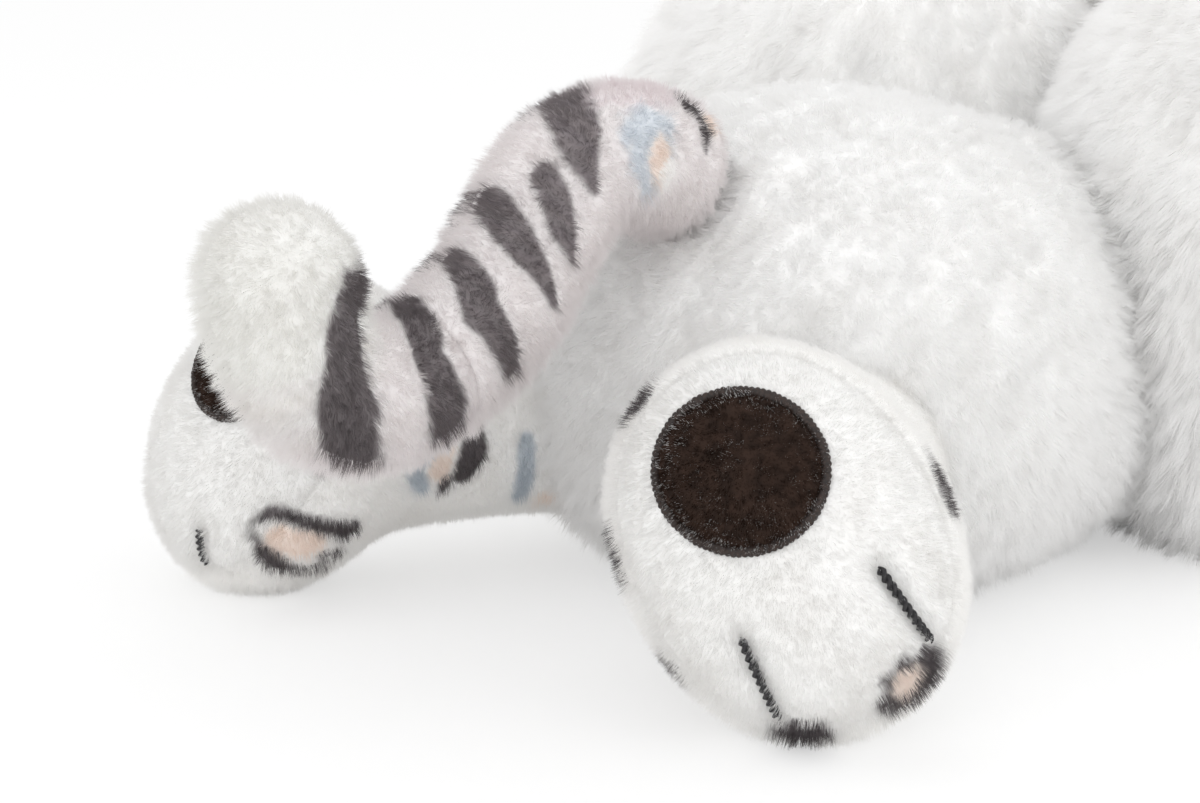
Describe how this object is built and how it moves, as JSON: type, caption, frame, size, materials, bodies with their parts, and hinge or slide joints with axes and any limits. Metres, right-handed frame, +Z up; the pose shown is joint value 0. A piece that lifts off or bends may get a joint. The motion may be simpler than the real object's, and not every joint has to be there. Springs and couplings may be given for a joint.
{
  "type": "plush snow leopard",
  "caption": "Stuffed snow leopard lying on its belly, hind legs stretched back with soles showing, and a striped tail that curls up at its white tip.",
  "frame": {"origin": "on the flat under the rump, at floor level", "axes": "+Z up, -Y the way the toy faces, +X the toy's left"},
  "size_m": [0.188, 0.3577, 0.1657],
  "materials": {
    "long_pile": "long woven pile",
    "short_pile": "short knitted pile",
    "printed_pile": "short knitted pile with printed spots",
    "striped_pile": "short knitted pile with printed stripes",
    "pad": "short brown pile with a stitched border",
    "thread": "twisted thread",
    "fibre_fill": "loose polyester fibre",
    "eye": "polished",
    "nose": "satin",
    "washer": "natural"
  },
  "bodies": {
    "body": {"rump_cover": "long_pile", "rump_filling": "fibre_fill", "chest_cover": "long_pile", "chest_filling": "fibre_fill"},
    "head": {"head_cover": "long_pile", "head_filling": "fibre_fill", "muzzle": "short_pile", "nose": "nose", "nose_washer": "washer", "eye_left": "eye", "eye_washer_left": "washer", "ear_left": "short_pile", "eye_right": "eye", "eye_washer_right": "washer", "ear_right": "short_pile"},
    "foreleg_left": {"foreleg_left": "short_pile", "fore_toe_thread_left_1": "thread", "fore_toe_thread_left_2": "thread"},
    "hind_leg_left": {"hind_leg_left": "printed_pile", "sole_left": "printed_pile", "pad_left": "pad", "toe_thread_left_1": "thread", "toe_thread_left_2": "thread"},
    "foreleg_right": {"foreleg_right": "short_pile", "fore_toe_thread_right_1": "thread", "fore_toe_thread_right_2": "thread"},
    "hind_leg_right": {"hind_leg_right": "printed_pile", "sole_right": "printed_pile", "pad_right": "pad", "toe_thread_right_1": "thread", "toe_thread_right_2": "thread"},
    "tail_base": {"tail_base": "striped_pile"},
    "tail_middle": {"tail_middle": "striped_pile"},
    "tail_tip": {"tail_tip": "short_pile"}
  },
  "joints": [
    {"name": "head_nod", "type": "hinge", "parent": "body", "child": "head", "pos_m": [0, -0.15, 0.098], "axis": [1, 0, 0], "range_deg": [-12, 12], "stiffness_Nm_per_rad": 0.4},
    {"name": "foreleg_left_lift", "type": "hinge", "parent": "body", "child": "foreleg_left", "pos_m": [0.058, -0.116, 0.032], "axis": [-1, 0, 0], "range_deg": [0, 20], "stiffness_Nm_per_rad": 0.1},
    {"name": "foreleg_right_lift", "type": "hinge", "parent": "body", "child": "foreleg_right", "pos_m": [-0.058, -0.116, 0.032], "axis": [-1, 0, 0], "range_deg": [0, 20], "stiffness_Nm_per_rad": 0.1},
    {"name": "hind_leg_left_splay", "type": "hinge", "parent": "body", "child": "hind_leg_left", "pos_m": [0.0304, 0.0321, 0.029], "axis": [0, 0, -1], "range_deg": [-5, 15], "stiffness_Nm_per_rad": 0.1},
    {"name": "hind_leg_right_splay", "type": "hinge", "parent": "body", "child": "hind_leg_right", "pos_m": [-0.0191, 0.0294, 0.029], "axis": [0, 0, 1], "range_deg": [-5, 15], "stiffness_Nm_per_rad": 0.1},
    {"name": "tail_swing", "type": "hinge", "parent": "body", "child": "tail_base", "pos_m": [0.0045, 0.0488, 0.0733], "axis": [1, 0, 0], "range_deg": [-6, 20], "stiffness_Nm_per_rad": 0.2},
    {"name": "tail_bend", "type": "hinge", "parent": "tail_base", "child": "tail_middle", "pos_m": [0.0074, 0.0875, 0.0566], "axis": [1, 0, 0], "range_deg": [-12, 15], "stiffness_Nm_per_rad": 0.12},
    {"name": "tail_curl", "type": "hinge", "parent": "tail_middle", "child": "tail_tip", "pos_m": [0.0087, 0.115, 0.047], "axis": [1, 0, 0], "range_deg": [-15, 15], "stiffness_Nm_per_rad": 0.08}
  ]
}
